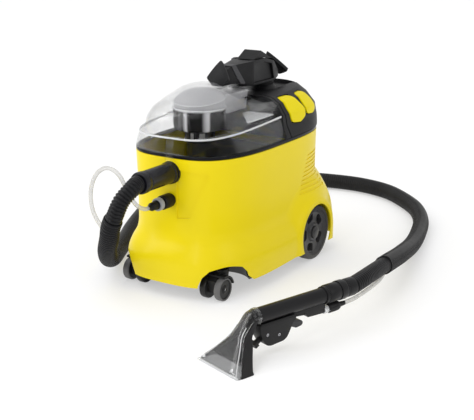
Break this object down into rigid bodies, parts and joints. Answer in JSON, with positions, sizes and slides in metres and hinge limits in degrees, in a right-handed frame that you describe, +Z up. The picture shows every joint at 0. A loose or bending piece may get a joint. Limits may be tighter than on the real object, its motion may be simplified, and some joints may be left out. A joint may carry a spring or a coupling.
{
  "type": "spray extraction carpet cleaner",
  "caption": "Wheeled canister carpet cleaner with clear lid, lift-out tank, ribbed suction hose, small spray hose and an upholstery hand tool.",
  "frame": {"origin": "on the floor, midway between the sides of the housing, under the front of the control head", "axes": "+X to the side with the two pedal switches, +Y to the rear where the mains cable enters, -Y to the front with the hose ports, +Z up"},
  "size_m": [0.7797, 1.1307, 0.442],
  "materials": {
    "yellow_shell": "satin moulded plastic",
    "black_plastic": "fine grained",
    "dark_plastic": "fine grained",
    "grey_plastic": "satin",
    "motor_metal": "cast",
    "clear_plastic": "clear moulded",
    "white_plastic": "satin",
    "steel": "turned",
    "grey_tyre": "matt tread",
    "black_hose": "ribbed",
    "clear_hose": "clear tube"
  },
  "bodies": {
    "machine": {"housing": "yellow_shell", "rim_band": "black_plastic", "base_plate": "black_plastic", "chassis": "dark_plastic", "control_head": "black_plastic", "switch_pins": "steel", "cable_gland": "black_plastic", "vacuum_motor": "motor_metal", "spray_pump": "dark_plastic", "suction_port": "black_plastic", "spray_socket": "black_plastic", "rear_axle": "steel", "hub_caps": "black_plastic", "hose_cuff": "black_plastic", "suction_hose_start": "black_hose", "hose_sheath": "black_hose", "suction_hose_end": "black_hose", "spray_plug": "black_plastic", "spray_hose_start": "clear_hose", "spray_hose_end": "clear_hose", "tool_cuff": "black_plastic", "tool_tube": "black_plastic", "nozzle_window": "clear_plastic", "nozzle_back": "dark_plastic", "spray_jet": "black_plastic", "valve_body": "black_plastic", "trigger_pin": "steel", "spray_pipe": "black_plastic", "spray_coupling": "black_plastic", "tool_screws": "steel"},
    "tank": {"tank": "clear_plastic", "tank_divider": "clear_plastic"},
    "lid": {"lid": "clear_plastic", "float_chamber": "clear_plastic", "float_cage": "black_plastic", "lid_catches": "clear_plastic", "handle_bracket": "black_plastic", "handle": "black_plastic", "nozzle_cradle": "black_plastic", "hook_post": "black_plastic"},
    "float": {"float": "white_plastic"},
    "cable_hook": {"cable_hook": "black_plastic"},
    "wheel_right": {"rear_wheel_right": "dark_plastic"},
    "wheel_left": {"rear_wheel_left": "dark_plastic"},
    "caster_right": {"caster_hood_right": "black_plastic", "caster_axle_right": "steel"},
    "caster_left": {"caster_hood_left": "black_plastic", "caster_axle_left": "steel"},
    "caster_wheel_right_outer": {"caster_wheel_right_outer": "grey_tyre"},
    "caster_wheel_right_inner": {"caster_wheel_right_inner": "grey_tyre"},
    "caster_wheel_left_outer": {"caster_wheel_left_outer": "grey_tyre"},
    "caster_wheel_left_inner": {"caster_wheel_left_inner": "grey_tyre"},
    "switch_suction": {"switch_suction": "yellow_shell"},
    "switch_spray": {"switch_spray": "yellow_shell"},
    "sleeve": {"coupling_sleeve": "grey_plastic"},
    "trigger": {"trigger": "black_plastic"}
  },
  "joints": [
    {"name": "tank_lift", "type": "slide", "parent": "machine", "child": "tank", "axis": [0, 0, 1], "range_m": [0, 0.19]},
    {"name": "lid_lift", "type": "slide", "parent": "tank", "child": "lid", "axis": [0, 0, 1], "range_m": [0, 0.12]},
    {"name": "float_rise", "type": "slide", "parent": "lid", "child": "float", "axis": [0, 0, 1], "range_m": [0, 0.028]},
    {"name": "cable_hook_turn", "type": "hinge", "parent": "lid", "child": "cable_hook", "pos_m": [0, 0.167, 0.3975], "axis": [0, 0.6652, 0.7466], "range_deg": [0, 180]},
    {"name": "wheel_right_spin", "type": "hinge", "parent": "machine", "child": "wheel_right", "pos_m": [0.134, 0.124, 0.06], "axis": [1, 0, 0], "continuous": true},
    {"name": "wheel_left_spin", "type": "hinge", "parent": "machine", "child": "wheel_left", "pos_m": [-0.134, 0.124, 0.06], "axis": [1, 0, 0], "continuous": true},
    {"name": "caster_right_swivel", "type": "hinge", "parent": "machine", "child": "caster_right", "pos_m": [0.094, -0.166, 0.06], "axis": [0, 0, 1], "continuous": true},
    {"name": "caster_right_outer_spin", "type": "hinge", "parent": "caster_right", "child": "caster_wheel_right_outer", "pos_m": [0.1105, -0.184, 0.023], "axis": [1, 0, 0], "continuous": true},
    {"name": "caster_right_inner_spin", "type": "hinge", "parent": "caster_right", "child": "caster_wheel_right_inner", "pos_m": [0.0775, -0.184, 0.023], "axis": [1, 0, 0], "continuous": true},
    {"name": "caster_left_swivel", "type": "hinge", "parent": "machine", "child": "caster_left", "pos_m": [-0.094, -0.166, 0.06], "axis": [0, 0, 1], "continuous": true},
    {"name": "caster_left_outer_spin", "type": "hinge", "parent": "caster_left", "child": "caster_wheel_left_outer", "pos_m": [-0.1105, -0.184, 0.023], "axis": [1, 0, 0], "continuous": true},
    {"name": "caster_left_inner_spin", "type": "hinge", "parent": "caster_left", "child": "caster_wheel_left_inner", "pos_m": [-0.0775, -0.184, 0.023], "axis": [1, 0, 0], "continuous": true},
    {"name": "suction_pedal", "type": "hinge", "parent": "machine", "child": "switch_suction", "pos_m": [0.099, 0.09, 0.323], "axis": [0, -1, 0], "range_deg": [0, 5]},
    {"name": "spray_pedal", "type": "hinge", "parent": "machine", "child": "switch_spray", "pos_m": [0.093, 0.15, 0.323], "axis": [0, -1, 0], "range_deg": [0, 5]},
    {"name": "sleeve_pull", "type": "slide", "parent": "machine", "child": "sleeve", "axis": [0, 1, 0], "range_m": [0, 0.004], "stiffness_N_per_m": 400},
    {"name": "trigger_squeeze", "type": "hinge", "parent": "machine", "child": "trigger", "pos_m": [0.31816, -0.30089, 0.044], "axis": [0.9478, -0.319, 0], "range_deg": [0, 6], "stiffness_Nm_per_rad": 0.4}
  ]
}
